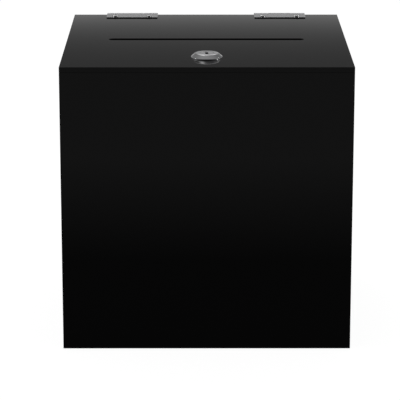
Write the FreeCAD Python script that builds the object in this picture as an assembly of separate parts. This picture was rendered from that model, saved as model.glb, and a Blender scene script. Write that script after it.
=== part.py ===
import FreeCAD, Part
import math
import os

Vec = FreeCAD.Vector
X_AXIS = Vec(1, 0, 0)
Y_AXIS = Vec(0, 1, 0)
Z_AXIS = Vec(0, 0, 1)

# All sizes in millimetres. The front of the box faces -Y and the box stands on Z = 0.

# Box of acrylic sheet
BOX_WIDTH = 254.0
BOX_DEPTH = 254.0
BOX_HEIGHT = 254.0
SHEET = 4.76
EDGE_EASE = 0.4
LID_REAR_GAP = 0.2

# Ballot slot, measured from the lid's front edge to the slot's centre line
SLOT_LENGTH = 177.8
SLOT_WIDTH = 8.0
SLOT_FROM_FRONT = 127.0

# Hinges of rolled sheet, measured from the box's side to the middle of the hinge
HINGE_FROM_SIDE = 56.0
HINGE_LENGTH = 49.0
MIDDLE_KNUCKLE = 22.0
LEAF_SHEET = 0.9
LEAF_REACH = 21.2
PIN_DIA = 1.0
PIN_FIT = 0.04
KNUCKLE_GAP = 0.2
PIN_BELOW_LID = 0.15
BARREL_GAP = 0.12
ROLL_SEAM = 0.15

# Pan-head screws and nuts that hold the leaves
SCREW_SPACING = 32.5
SCREW_FROM_AXIS = 15.0
SCREW_DIA = 3.0
SCREW_HEAD_DIA = 5.6
SCREW_HEAD = 1.2
SCREW_TIP = 1.0
SCREW_PLAY = 0.2
THREAD_FIT = 0.05
NUT_FLATS = 5.5
NUT_HEIGHT = 2.4

# Cam lock, measured from the lid's front edge to the lock's axis
LOCK_FROM_FRONT = 43.0
FLANGE_DIA = 27.5
FLANGE_RIM = 1.0
FACE_DIA = 20.5
FACE_HEIGHT = 4.2
PLUG_RECESS = 0.25
BARREL_DIA = 19.0
BARREL_FLATS = 16.0
BARREL_LENGTH = 16.0
LOCK_NUT_FLATS = 24.0
LOCK_NUT_HEIGHT = 5.0
PLUG_FACE_DIA = 12.6
PLUG_FACE_THICK = 1.8
PLUG_DIA = 11.0
PLUG_FIT = 0.05
PLUG_END_PLAY = 0.1
KEYWAY_LENGTH = 8.0
KEYWAY_WIDTH = 2.2
KEYWAY_DEPTH = 18.0

# Wafer tumblers, stacked along the plug
WAFER_COUNT = 4
WAFER_PITCH = 2.2
WAFER_THICK = 1.0
WAFER_WIDTH = 5.5
WAFER_WINDOW_LENGTH = 6.6
WAFER_WINDOW_WIDTH = 2.5
WAFER_FIT = 0.1
WAFER_START = 2.6
WAFER_GROOVE = 1.0

# Quarter-turn stop, cam and its nut on the plug's tail
TURN_DEG = 90.0
STOP_DIA = 17.0
STOP_THICK = 1.0
STOP_LUG_IN = 6.5
STOP_LUG_WALL = 1.2
STOP_LUG_HEIGHT = 1.6
STOP_LUG_DEG = 30.0
STOP_PLAY_DEG = 2.0
STOP_PLAY = 0.3
TAIL_SQUARE = 7.0
TAIL_FIT = 0.05
CAM_LENGTH = 34.5
CAM_HUB_DIA = 16.0
CAM_WIDTH = 13.0
CAM_THICK = 2.0
CAM_TIP_RADIUS = 4.0
STUD_DIA = 6.0
STUD_TIP = 1.0
CAM_NUT_FLATS = 10.0
CAM_NUT_HEIGHT = 4.0

# Ledge that the turned cam hooks under
LEDGE_WIDTH = 40.0
LEDGE_OVER_CAM = 16.0
LEDGE_PLAY = 0.8

# Places worked out from the sizes
HALF_W = BOX_WIDTH / 2
HALF_D = BOX_DEPTH / 2
HINGE_X = HALF_W - HINGE_FROM_SIDE
WALL_TOP = BOX_HEIGHT - SHEET
LID_REAR = HALF_D - LID_REAR_GAP
BORE_R = PIN_DIA / 2 + PIN_FIT
KNUCKLE_R = BORE_R + LEAF_SHEET
AXIS_Y = HALF_D + KNUCKLE_R + BARREL_GAP
AXIS_Z = BOX_HEIGHT - PIN_BELOW_LID
LOCK_Y = LOCK_FROM_FRONT - HALF_D
SLOT_Y = SLOT_FROM_FRONT - HALF_D
PLUG_SEAT_Z = BOX_HEIGHT + FACE_HEIGHT - PLUG_RECESS - PLUG_FACE_THICK
BARREL_END_Z = BOX_HEIGHT - BARREL_LENGTH
STOP_TOP_Z = BARREL_END_Z - PLUG_END_PLAY
CAM_TOP_Z = STOP_TOP_Z - STOP_THICK
CAM_LOW_Z = CAM_TOP_Z - CAM_THICK
STUD_END_Z = CAM_LOW_Z - CAM_NUT_HEIGHT - STUD_TIP
CUT_OVER = 1.0


def block(low, high):
    """Return a box between two corners."""
    size = [b - a for a, b in zip(low, high)]
    return Part.makeBox(size[0], size[1], size[2], Vec(*low))


def rod(diameter, start, direction, length):
    """Return a cylinder from a start point along a direction."""
    return Part.makeCylinder(diameter / 2, length, Vec(*start), direction)


def hexagon(flats, start, direction, length):
    """Return a hexagonal prism whose flats are the given distance apart."""
    radius = flats / math.sqrt(3)
    points = [Vec(radius * math.cos(math.radians(60 * k)), radius * math.sin(math.radians(60 * k)), 0)
              for k in range(7)]
    prism = Part.Face(Part.makePolygon(points)).extrude(Vec(0, 0, length))
    turn = FreeCAD.Rotation(Z_AXIS, direction)
    prism.Placement = FreeCAD.Placement(Vec(*start), turn)
    return prism


def eased(shape, chosen):
    """Return a panel with the exposed edges that the test picks chamfered."""
    edges = [edge for edge in shape.Edges if chosen(edge.BoundBox)]
    return shape.makeChamfer(EDGE_EASE, edges)


def near(a, b):
    """Return whether two lengths are the same."""
    return abs(a - b) < 1e-6


def screw_places():
    """Return the X of every leaf screw along the rear edge."""
    return [side * HINGE_X + end * SCREW_SPACING / 2 for side in (-1, 1) for end in (-1, 1)]


# Walls and base


def cross_wall(outer_y, inner_y):
    """Return a front or rear wall across the whole width, its outer edges eased."""
    wall = block((-HALF_W, min(outer_y, inner_y), 0), (HALF_W, max(outer_y, inner_y), WALL_TOP))
    return eased(wall, lambda b: near(b.YMin, outer_y) and near(b.YMax, outer_y))


def front_wall():
    """Return the front wall."""
    return cross_wall(-HALF_D, SHEET - HALF_D)


def rear_wall():
    """Return the rear wall with the holes for the rear leaves' screws."""
    wall = cross_wall(HALF_D, HALF_D - SHEET)
    for x in screw_places():
        start = (x, HALF_D - SHEET - CUT_OVER, AXIS_Z - SCREW_FROM_AXIS)
        wall = wall.cut(rod(SCREW_DIA + 2 * SCREW_PLAY, start, Y_AXIS, SHEET + 2 * CUT_OVER))
    return wall


def side_wall(side):
    """Return a side wall between the front and rear walls, on side -1 or 1."""
    outer = side * HALF_W
    inner = side * (HALF_W - SHEET)
    wall = block((min(outer, inner), SHEET - HALF_D, 0), (max(outer, inner), HALF_D - SHEET, WALL_TOP))
    along_y = HALF_D - SHEET
    return eased(wall, lambda b: near(b.XMin, outer) and near(b.XMax, outer) and b.YMax - b.YMin > along_y)


def base_panel():
    """Return the base, let in between the four walls."""
    half_x = HALF_W - SHEET
    half_y = HALF_D - SHEET
    return block((-half_x, -half_y, 0), (half_x, half_y, SHEET))


def latch_ledge():
    """Return the acrylic ledge on the front wall, just above the cam's path."""
    bottom = CAM_TOP_Z + LEDGE_PLAY
    rear = LOCK_Y - CAM_LENGTH + LEDGE_OVER_CAM
    return block((-LEDGE_WIDTH / 2, SHEET - HALF_D, bottom), (LEDGE_WIDTH / 2, rear, bottom + SHEET))


# Lid


def ballot_slot():
    """Return the cutter of the round-ended ballot slot."""
    half = (SLOT_LENGTH - SLOT_WIDTH) / 2
    low_z = WALL_TOP - CUT_OVER
    depth = SHEET + 2 * CUT_OVER
    cutter = block((-half, SLOT_Y - SLOT_WIDTH / 2, low_z), (half, SLOT_Y + SLOT_WIDTH / 2, low_z + depth))
    for side in (-1, 1):
        cutter = cutter.fuse(rod(SLOT_WIDTH, (side * half, SLOT_Y, low_z), Z_AXIS, depth))
    return cutter.removeSplitter()


def double_d(diameter, flats, low_z, high_z):
    """Return a round bar on the lock's axis with two flats across X."""
    bar = rod(diameter, (0, LOCK_Y, low_z), Z_AXIS, high_z - low_z)
    slab = block((-flats / 2, LOCK_Y - diameter, low_z), (flats / 2, LOCK_Y + diameter, high_z))
    return bar.common(slab)


def lid_panel():
    """Return the lid with its slot, lock hole and screw holes."""
    panel = block((-HALF_W, -HALF_D, WALL_TOP), (HALF_W, LID_REAR, BOX_HEIGHT))
    panel = eased(panel, lambda b: True)
    panel = panel.cut(ballot_slot())
    hole = double_d(BARREL_DIA + 2 * SCREW_PLAY, BARREL_FLATS + 2 * SCREW_PLAY,
                    WALL_TOP - CUT_OVER, BOX_HEIGHT + CUT_OVER)
    panel = panel.cut(hole)
    for x in screw_places():
        start = (x, AXIS_Y - SCREW_FROM_AXIS, WALL_TOP - CUT_OVER)
        panel = panel.cut(rod(SCREW_DIA + 2 * SCREW_PLAY, start, Z_AXIS, SHEET + 2 * CUT_OVER))
    return panel


# Hinges, drawn about an axis along X with the leaf reaching towards -Y


def knuckle_spans(ends):
    """Return the X spans of one leaf's knuckles: the two end ones, or the middle one."""
    half = HINGE_LENGTH / 2
    middle = MIDDLE_KNUCKLE / 2
    if ends:
        return [(-half, -middle - KNUCKLE_GAP / 2), (middle + KNUCKLE_GAP / 2, half)]
    return [(KNUCKLE_GAP / 2 - middle, middle - KNUCKLE_GAP / 2)]


def hinge_leaf(ends, seat, seam_low):
    """Return a leaf on a seat height, rolled round the pin, with its end knuckles or the middle one."""
    half = HINGE_LENGTH / 2
    top = seat + LEAF_SHEET
    leaf = block((-half, -LEAF_REACH, seat), (half, 0, top))
    leaf = leaf.cut(rod(2 * (KNUCKLE_R + KNUCKLE_GAP), (-half, 0, 0), X_AXIS, HINGE_LENGTH))
    for low, high in knuckle_spans(ends):
        roll = rod(2 * KNUCKLE_R, (low, 0, 0), X_AXIS, high - low)
        root = block((low, -2 * KNUCKLE_R, seat), (high, 0, top))
        seam = block((low, -2 * KNUCKLE_R, seam_low), (high, 0, seam_low + ROLL_SEAM))
        bore = rod(2 * BORE_R, (low, 0, 0), X_AXIS, high - low)
        leaf = leaf.fuse(roll.cut(seam).fuse(root).cut(bore))
    for end in (-1, 1):
        start = (end * SCREW_SPACING / 2, -SCREW_FROM_AXIS, seat - CUT_OVER)
        leaf = leaf.cut(rod(SCREW_DIA + 2 * SCREW_PLAY, start, Z_AXIS, LEAF_SHEET + 2 * CUT_OVER))
    return leaf.removeSplitter()


def lid_leaf(side):
    """Return a leaf on the lid, rolled over the pin; the left one has the middle knuckle."""
    leaf = hinge_leaf(side > 0, PIN_BELOW_LID, PIN_BELOW_LID - ROLL_SEAM)
    leaf.translate(Vec(side * HINGE_X, AXIS_Y, AXIS_Z))
    return leaf


def rear_leaf(side):
    """Return the leaf on the rear wall, turned down over the corner and rolled outwards round the pin."""
    seat = -KNUCKLE_R - BARREL_GAP
    leaf = hinge_leaf(side < 0, seat, seat + LEAF_SHEET).mirror(Vec(0, 0, 0), Vec(0, 1, -1))
    leaf.translate(Vec(side * HINGE_X, AXIS_Y, AXIS_Z))
    return leaf


def hinge_pin(side):
    """Return the pin through all three knuckles of a hinge."""
    start = (side * HINGE_X - HINGE_LENGTH / 2, AXIS_Y, AXIS_Z)
    return rod(PIN_DIA, start, X_AXIS, HINGE_LENGTH)


# Fasteners, made along +Z with the clamped face at the origin and then turned


def pan_screw():
    """Return a pan-head screw whose head sits on a leaf that lies on the sheet's face at Z = 0."""
    end = -(SHEET + NUT_HEIGHT + SCREW_TIP)
    shank = rod(SCREW_DIA, (0, 0, end), Z_AXIS, LEAF_SHEET - end)
    head = rod(SCREW_HEAD_DIA, (0, 0, LEAF_SHEET), Z_AXIS, SCREW_HEAD)
    return shank.fuse(head).removeSplitter()


def inner_nut():
    """Return a hex nut on the sheet's inner face."""
    start = (0, 0, -SHEET - NUT_HEIGHT)
    nut = hexagon(NUT_FLATS, start, Z_AXIS, NUT_HEIGHT)
    return nut.cut(rod(SCREW_DIA + 2 * THREAD_FIT, start, Z_AXIS, NUT_HEIGHT))


def on_lid(make):
    """Return the four copies of a fastener on the lid's leaves."""
    solids = []
    for x in screw_places():
        solid = make()
        solid.translate(Vec(x, AXIS_Y - SCREW_FROM_AXIS, BOX_HEIGHT))
        solids.append(solid)
    return Part.makeCompound(solids)


def on_rear_wall(make):
    """Return the four copies of a fastener on the rear leaves, with their heads towards +Y."""
    solids = []
    for x in screw_places():
        solid = make()
        solid.rotate(Vec(0, 0, 0), X_AXIS, -90)
        solid.translate(Vec(x, HALF_D, AXIS_Z - SCREW_FROM_AXIS))
        solids.append(solid)
    return Part.makeCompound(solids)


# Lock


def sector(inner_r, outer_r, low_z, height, start_deg, sweep_deg):
    """Return a block of a ring on the lock's axis, from a start angle through a sweep."""
    whole = Part.makeCylinder(outer_r, height, Vec(0, 0, 0), Z_AXIS, sweep_deg)
    piece = whole.cut(Part.makeCylinder(inner_r, height))
    piece.rotate(Vec(0, 0, 0), Z_AXIS, start_deg)
    piece.translate(Vec(0, LOCK_Y, low_z))
    return piece


def lock_housing():
    """Return the flanged, flatted barrel with its bore, tumbler grooves and stop relief."""
    bore_r = PLUG_DIA / 2 + PLUG_FIT
    seat_r = PLUG_FACE_DIA / 2 + PLUG_FIT
    barrel_r = BARREL_DIA / 2
    top = BOX_HEIGHT + FACE_HEIGHT
    outline = [
        (bore_r, BARREL_END_Z),
        (barrel_r, BARREL_END_Z),
        (barrel_r, BOX_HEIGHT),
        (FLANGE_DIA / 2, BOX_HEIGHT),
        (FLANGE_DIA / 2, BOX_HEIGHT + FLANGE_RIM),
        (FACE_DIA / 2, top),
        (seat_r, top),
        (seat_r, PLUG_SEAT_Z - PLUG_FIT),
        (bore_r, PLUG_SEAT_Z - PLUG_FIT),
    ]
    points = [Vec(r, 0, z) for r, z in outline + outline[:1]]
    housing = Part.Face(Part.makePolygon(points)).revolve(Vec(0, 0, 0), Z_AXIS, 360)
    housing.translate(Vec(0, LOCK_Y, 0))
    for side in (-1, 1):
        edge = side * BARREL_FLATS / 2
        beyond = side * (barrel_r + CUT_OVER)
        flat = block((min(edge, beyond), LOCK_Y - BARREL_DIA, BARREL_END_Z),
                     (max(edge, beyond), LOCK_Y + BARREL_DIA, BOX_HEIGHT))
        housing = housing.cut(flat)
    housing = housing.cut(tumbler_grooves())
    return housing.cut(stop_relief())


def tumbler_grooves():
    """Return the cutter of the two grooves that catch the wafers when the key is out."""
    half_x = WAFER_WIDTH / 2 + WAFER_FIT
    half_y = PLUG_DIA / 2 + WAFER_GROOVE
    low = wafer_levels()[-1] - WAFER_THICK
    high = wafer_levels()[0] + WAFER_THICK
    return block((-half_x, LOCK_Y - half_y, low), (half_x, LOCK_Y + half_y, high))


def stop_relief():
    """Return the cutter at the barrel's end in which the stop washer's lug swings."""
    sweep = TURN_DEG + STOP_LUG_DEG + 2 * STOP_PLAY_DEG
    start = 180 - TURN_DEG - STOP_LUG_DEG / 2 - STOP_PLAY_DEG
    height = STOP_LUG_HEIGHT - PLUG_END_PLAY + STOP_PLAY
    return sector(STOP_LUG_IN - STOP_PLAY, BARREL_DIA, BARREL_END_Z, height, start, sweep)


def lock_nut():
    """Return the hex nut that clamps the housing to the lid."""
    start = (0, LOCK_Y, WALL_TOP - LOCK_NUT_HEIGHT)
    nut = hexagon(LOCK_NUT_FLATS, start, Z_AXIS, LOCK_NUT_HEIGHT)
    return nut.cut(rod(BARREL_DIA + 2 * THREAD_FIT, start, Z_AXIS, LOCK_NUT_HEIGHT))


def wafer_levels():
    """Return the mid height of each wafer, from the top down."""
    first = PLUG_SEAT_Z - WAFER_START
    return [first - k * WAFER_PITCH for k in range(WAFER_COUNT)]


def lock_plug():
    """Return the plug with its keyway, wafer slots, square tail and stud."""
    face = rod(PLUG_FACE_DIA, (0, LOCK_Y, PLUG_SEAT_Z), Z_AXIS, PLUG_FACE_THICK)
    core = rod(PLUG_DIA, (0, LOCK_Y, STOP_TOP_Z), Z_AXIS, PLUG_SEAT_Z - STOP_TOP_Z)
    half = TAIL_SQUARE / 2
    tail_end = CAM_LOW_Z + CAM_THICK / 4
    tail = block((-half, LOCK_Y - half, tail_end), (half, LOCK_Y + half, STOP_TOP_Z))
    stud = rod(STUD_DIA, (0, LOCK_Y, STUD_END_Z), Z_AXIS, tail_end - STUD_END_Z)
    plug = face.fuse([core, tail, stud])
    top = PLUG_SEAT_Z + PLUG_FACE_THICK
    keyway = block((-KEYWAY_WIDTH / 2, LOCK_Y - KEYWAY_LENGTH / 2, top - KEYWAY_DEPTH),
                   (KEYWAY_WIDTH / 2, LOCK_Y + KEYWAY_LENGTH / 2, top + CUT_OVER))
    plug = plug.cut(keyway)
    half_x = WAFER_WIDTH / 2 + WAFER_FIT
    half_z = WAFER_THICK / 2 + WAFER_FIT
    for level in wafer_levels():
        slot = block((-half_x, LOCK_Y - PLUG_DIA, level - half_z),
                     (half_x, LOCK_Y + PLUG_DIA, level + half_z))
        plug = plug.cut(slot)
    return plug.removeSplitter()


def wafer_tumblers():
    """Return the wafers, drawn into the plug as the right key holds them."""
    wafers = []
    for level in wafer_levels():
        low_z = level - WAFER_THICK / 2
        high_z = level + WAFER_THICK / 2
        disc = rod(PLUG_DIA - 2 * WAFER_FIT, (0, LOCK_Y, low_z), Z_AXIS, WAFER_THICK)
        strip = block((-WAFER_WIDTH / 2, LOCK_Y - PLUG_DIA, low_z),
                      (WAFER_WIDTH / 2, LOCK_Y + PLUG_DIA, high_z))
        window = block((-WAFER_WINDOW_WIDTH / 2, LOCK_Y - WAFER_WINDOW_LENGTH / 2, low_z),
                       (WAFER_WINDOW_WIDTH / 2, LOCK_Y + WAFER_WINDOW_LENGTH / 2, high_z))
        wafers.append(disc.common(strip).cut(window))
    return Part.makeCompound(wafers)


def square_hole(low_z, height):
    """Return the cutter of a hole that fits the plug's square tail."""
    half = TAIL_SQUARE / 2 + TAIL_FIT
    return block((-half, LOCK_Y - half, low_z), (half, LOCK_Y + half, low_z + height))


def stop_washer():
    """Return the disc on the tail with the lug that meets the barrel's relief."""
    low = STOP_TOP_Z - STOP_THICK
    disc = rod(STOP_DIA, (0, LOCK_Y, low), Z_AXIS, STOP_THICK)
    lug = sector(STOP_LUG_IN, STOP_LUG_IN + STOP_LUG_WALL, STOP_TOP_Z, STOP_LUG_HEIGHT,
                 180 - STOP_LUG_DEG / 2, STOP_LUG_DEG)
    return disc.cut(square_hole(low, STOP_THICK)).fuse(lug).removeSplitter()


def lock_cam():
    """Return the cam, at rest pointing to +X, clear of the ledge."""
    low = CAM_LOW_Z
    hub = rod(CAM_HUB_DIA, (0, LOCK_Y, low), Z_AXIS, CAM_THICK)
    half = CAM_WIDTH / 2
    arm = block((0, LOCK_Y - half, low), (CAM_LENGTH, LOCK_Y + half, low + CAM_THICK))
    tip = [edge for edge in arm.Edges
           if near(edge.BoundBox.XMin, CAM_LENGTH) and near(edge.BoundBox.YMin, edge.BoundBox.YMax)
           and near(edge.BoundBox.ZMax - edge.BoundBox.ZMin, CAM_THICK)]
    arm = arm.makeFillet(CAM_TIP_RADIUS, tip)
    return hub.fuse(arm).cut(square_hole(low, CAM_THICK)).removeSplitter()


def cam_nut():
    """Return the hex nut on the plug's stud."""
    start = (0, LOCK_Y, CAM_LOW_Z - CAM_NUT_HEIGHT)
    nut = hexagon(CAM_NUT_FLATS, start, Z_AXIS, CAM_NUT_HEIGHT)
    return nut.cut(rod(STUD_DIA + 2 * THREAD_FIT, start, Z_AXIS, CAM_NUT_HEIGHT))


def nodes():
    """Return every piece of the box by name."""
    return {
        "base_panel": base_panel(),
        "front_wall": front_wall(),
        "rear_wall": rear_wall(),
        "left_wall": side_wall(-1),
        "right_wall": side_wall(1),
        "latch_ledge": latch_ledge(),
        "lid_panel": lid_panel(),
        "left_lid_leaf": lid_leaf(-1),
        "right_lid_leaf": lid_leaf(1),
        "left_rear_leaf": rear_leaf(-1),
        "right_rear_leaf": rear_leaf(1),
        "left_hinge_pin": hinge_pin(-1),
        "right_hinge_pin": hinge_pin(1),
        "lid_leaf_screws": on_lid(pan_screw),
        "lid_leaf_nuts": on_lid(inner_nut),
        "rear_leaf_screws": on_rear_wall(pan_screw),
        "rear_leaf_nuts": on_rear_wall(inner_nut),
        "lock_housing": lock_housing(),
        "lock_nut": lock_nut(),
        "lock_plug": lock_plug(),
        "wafer_tumblers": wafer_tumblers(),
        "stop_washer": stop_washer(),
        "lock_cam": lock_cam(),
        "cam_nut": cam_nut(),
    }


os.makedirs("parts", exist_ok=True)
for name, shape in nodes().items():
    shape.exportStep("parts/" + name + ".step")
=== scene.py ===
import logging
import math
from dataclasses import dataclass
from enum import Enum
from typing import Any, Callable, Optional, Sequence, Union

import bmesh
import bpy
from bpy.types import Material, Mesh, NodeSocket, NodeTree, Object
from mathutils import Matrix, Vector


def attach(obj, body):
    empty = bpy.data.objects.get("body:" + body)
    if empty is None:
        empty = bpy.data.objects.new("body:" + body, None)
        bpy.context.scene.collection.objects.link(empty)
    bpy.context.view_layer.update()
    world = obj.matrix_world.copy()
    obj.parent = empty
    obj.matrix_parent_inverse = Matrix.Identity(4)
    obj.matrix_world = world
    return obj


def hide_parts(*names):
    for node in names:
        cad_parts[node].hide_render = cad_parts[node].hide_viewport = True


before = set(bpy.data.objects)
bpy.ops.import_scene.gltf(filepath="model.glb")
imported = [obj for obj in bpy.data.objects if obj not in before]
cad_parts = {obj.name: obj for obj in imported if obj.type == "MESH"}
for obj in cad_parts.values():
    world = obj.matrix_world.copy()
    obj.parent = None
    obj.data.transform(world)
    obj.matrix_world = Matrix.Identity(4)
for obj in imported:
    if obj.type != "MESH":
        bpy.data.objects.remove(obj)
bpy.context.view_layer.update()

LOG = logging.getLogger("ballot_box")
Point = tuple[float, float]
Points = Sequence[Point]
# A place in a plane and the radius of the rounding there
Corner = tuple[float, float, float]
Place = tuple[float, float, float]
Colour = tuple[float, float, float]
Number = Union["Wire", float]
# The radius and the height of a ring, each by the angle about Z
Ring = tuple[Callable[[float], float], Callable[[float], float]]

MM = 0.001
# Sizes that several classes share, in millimetres
BOX_SIZE = 254.0
SHEET = 4.76
LOCK_Y = -84.0
WALL_TOP = 249.24
SCREW_HOLE = 3.4
# How far a cutter stands out of the face that it cuts
CUT_PAST = 0.4

# Axes of a sheet that stands up: across the box, and from front to rear
ACROSS = Matrix(((1, 0, 0, 0), (0, 0, -1, 0), (0, 1, 0, 0), (0, 0, 0, 1)))
ALONG = Matrix(((0, 0, 1, 0), (1, 0, 0, 0), (0, 1, 0, 0), (0, 0, 0, 1)))
# Swaps depth and height, which turns a leaf on the lid into one on the rear wall
OVER_CORNER = Matrix(((1, 0, 0, 0), (0, 0, 1, 0), (0, 1, 0, 0), (0, 0, 0, 1)))


class Body(Enum):
    """Rigid bodies that the pieces ride on."""

    BOX = "box"
    LID = "lid"
    CORE = "lock_core"


class Slot(Enum):
    """Material slots that the pieces take their finish from."""

    ACRYLIC = "black_acrylic"
    HINGE = "hinge_steel"
    SCREW = "screw_steel"
    CHROME = "lock_chrome"
    ZINC = "zinc_steel"
    BRASS = "tumbler_brass"


class Side(Enum):
    """Left and right, as signs along X."""

    LEFT = -1
    RIGHT = 1


def math_method(operation: str, swapped: bool = False) -> Callable[..., "Wire"]:
    """Make a method of Wire that adds a Math node.

    Args:
        operation: The node's operation.
        swapped: Whether the other value comes first, as in a reflected operator.

    Returns:
        The method, which takes the other value and returns the result.
    """
    def method(self: "Wire", other: Number = 0.0) -> "Wire":
        """Return the result of the Math node on self and other."""
        first, second = (other, self) if swapped else (self, other)
        return self.graph.node("ShaderNodeMath", {0: first, 1: second}, operation=operation)

    return method


class Wire:
    """A socket of a node tree, on which Python's operators add Math nodes."""

    __add__, __radd__ = math_method("ADD"), math_method("ADD", True)
    __sub__, __rsub__ = math_method("SUBTRACT"), math_method("SUBTRACT", True)
    __mul__, __rmul__ = math_method("MULTIPLY"), math_method("MULTIPLY", True)
    __truediv__, __rtruediv__ = math_method("DIVIDE"), math_method("DIVIDE", True)
    larger, smaller = math_method("MAXIMUM"), math_method("MINIMUM")
    exp, root, size = math_method("EXPONENT"), math_method("SQRT"), math_method("ABSOLUTE")

    def __init__(self, graph: "Graph", socket: NodeSocket) -> None:
        """Hold a socket and the graph that it belongs to."""
        self.graph = graph
        self.socket = socket

    def clamped(self) -> "Wire":
        """Return self held between 0 and 1."""
        return self.larger(0.0).smaller(1.0)


class Graph:
    """A node tree that is written one node at a time."""

    def __init__(self, tree: NodeTree) -> None:
        """Start on an emptied tree."""
        self.tree = tree
        tree.nodes.clear()

    def node(self, kind: str, inputs: dict[Union[int, str], Any], output: Union[int, str] = 0,
             **settings: Any) -> Wire:
        """Add a node, set it up and feed its sockets.

        Args:
            kind: The node's type.
            inputs: A value or a wire for each input, by name or number.
            output: The output that is wanted.
            settings: The node's properties, which are set first.

        Returns:
            A wire on that output.
        """
        made = self.tree.nodes.new(kind)
        for key, value in settings.items():
            setattr(made, key, value)
        for key, value in inputs.items():
            if isinstance(value, Wire):
                self.tree.links.new(value.socket, made.inputs[key])
            else:
                made.inputs[key].default_value = value
        return Wire(self, made.outputs[output] if len(made.outputs) else made.inputs[0])

    def place(self) -> Wire:
        """Return the place on the piece, in metres."""
        return self.node("ShaderNodeTexCoord", {}, "Object")

    def axis(self, name: str, spot: Optional[Wire] = None) -> Wire:
        """Return one coordinate of a spot, or else of the place on the piece."""
        return self.node("ShaderNodeSeparateXYZ", {"Vector": spot or self.place()}, name)

    def ray(self, kind: str) -> Wire:
        """Return 1 for rays of one kind and 0 for the others."""
        return self.node("ShaderNodeLightPath", {}, f"Is {kind} Ray")

    def noise(self, scale: float, detail: float, stretch: Place = (1.0, 1.0, 1.0)) -> Wire:
        """Return a noise of 0 to 1 over the piece.

        Args:
            scale: Its grains in a metre.
            detail: Its octaves.
            stretch: How many times finer the noise is along each axis.

        Returns:
            The noise's value.
        """
        spot = self.node("ShaderNodeMapping", {"Vector": self.place(), "Scale": stretch})
        return self.node("ShaderNodeTexNoise", {"Vector": spot, "Scale": scale, "Detail": detail})

    def blend(self, first: Union[Wire, Colour], second: Colour, amount: Number) -> Wire:
        """Return a colour between two, by an amount of 0 to 1."""
        sockets = {0: amount, 6: first if isinstance(first, Wire) else (*first, 1.0), 7: (*second, 1.0)}
        return self.node("ShaderNodeMix", sockets, 2, data_type="RGBA")

    def bump(self, height: Wire, depth_mm: float) -> Wire:
        """Return the normals of a surface that is raised by a height of 0 to 1."""
        return self.node("ShaderNodeBump", {"Strength": 1.0, "Distance": depth_mm * MM, "Height": height})


def placed(name: str, data: Any) -> Object:
    """Return a new object of the scene that shows some data."""
    made = bpy.data.objects.new(name, data)
    bpy.context.scene.collection.objects.link(made)
    return made


def new_graph(name: str) -> tuple[Material, Graph]:
    """Return a new material and the graph that it is written in."""
    material = bpy.data.materials.new(name)
    material.use_nodes = True
    return material, Graph(material.node_tree)


class Finish:
    """A finish, whose own class says what feeds the sockets of its shader."""

    title: str

    def sockets(self, graph: Graph) -> dict[str, Any]:
        """Return a value or a wire for each socket."""
        raise NotImplementedError

    def material(self) -> Material:
        """Return the finish as a material."""
        material, graph = new_graph(self.title)
        shader = graph.node("ShaderNodeBsdfPrincipled", self.sockets(graph))
        graph.node("ShaderNodeOutputMaterial", {"Surface": shader})
        return material


@dataclass(frozen=True)
class PolishedAcrylic(Finish):
    """Black cast sheet with polished faces, faint wiping haze and duller sawn edges."""

    title: str = "black_acrylic_polished"
    colour: Colour = (0.0012, 0.0012, 0.0013)
    haze_colour: Colour = (0.0017, 0.0017, 0.0018)
    gloss: float = 0.03
    haze: float = 0.03
    edge_dullness: float = 0.16
    reflection: float = 0.075

    def sockets(self, graph: Graph) -> dict[str, Any]:
        """Return a value or a wire for each socket."""
        cloud = graph.noise(14.0, 3.0)
        wiping = graph.noise(3.0, 2.0, (6.0, 60.0, 60.0))
        edge = graph.node("ShaderNodeAttribute", {}, "Fac", attribute_name="cut_edge")
        saw = graph.noise(1.0, 1.0, (4.0, 4.0, 900.0))
        dull = self.edge_dullness * edge * (0.7 + 0.3 * saw)
        return {
            "Base Color": graph.blend(self.colour, self.haze_colour, cloud),
            "Roughness": self.gloss + self.haze * cloud * wiping + dull,
            "Specular IOR Level": self.reflection,
            "Normal": graph.bump(graph.noise(9.0, 1.0), 0.015),
        }


@dataclass(frozen=True)
class BrushedNickel(Finish):
    """Bright hinge steel, brushed along the hinge."""

    title: str = "hinge_brushed_nickel"
    colour: Colour = (0.50, 0.50, 0.51)
    streak_colour: Colour = (0.60, 0.60, 0.61)
    gloss: float = 0.1
    streak: float = 0.08

    def sockets(self, graph: Graph) -> dict[str, Any]:
        """Return a value or a wire for each socket."""
        brushed = graph.noise(2600.0, 3.0, (0.03, 1.0, 1.0))
        cloud = graph.noise(90.0, 2.0)
        return {
            "Base Color": graph.blend(self.colour, self.streak_colour, brushed),
            "Metallic": 1.0,
            "Roughness": self.gloss + self.streak * brushed * (0.6 + 0.8 * cloud),
            "Normal": graph.bump(brushed, 0.006),
        }


@dataclass(frozen=True)
class BrightZinc(Finish):
    """Bright plated screws and nuts with a little handling wear."""

    title: str = "screw_bright_zinc"
    colour: Colour = (0.60, 0.60, 0.61)
    worn_colour: Colour = (0.70, 0.70, 0.69)
    gloss: float = 0.2
    wear: float = 0.16

    def sockets(self, graph: Graph) -> dict[str, Any]:
        """Return a value or a wire for each socket."""
        wear = graph.noise(700.0, 4.0)
        return {
            "Base Color": graph.blend(self.colour, self.worn_colour, wear),
            "Metallic": 1.0,
            "Roughness": self.gloss + self.wear * wear,
            "Normal": graph.bump(wear, 0.008),
        }


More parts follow.
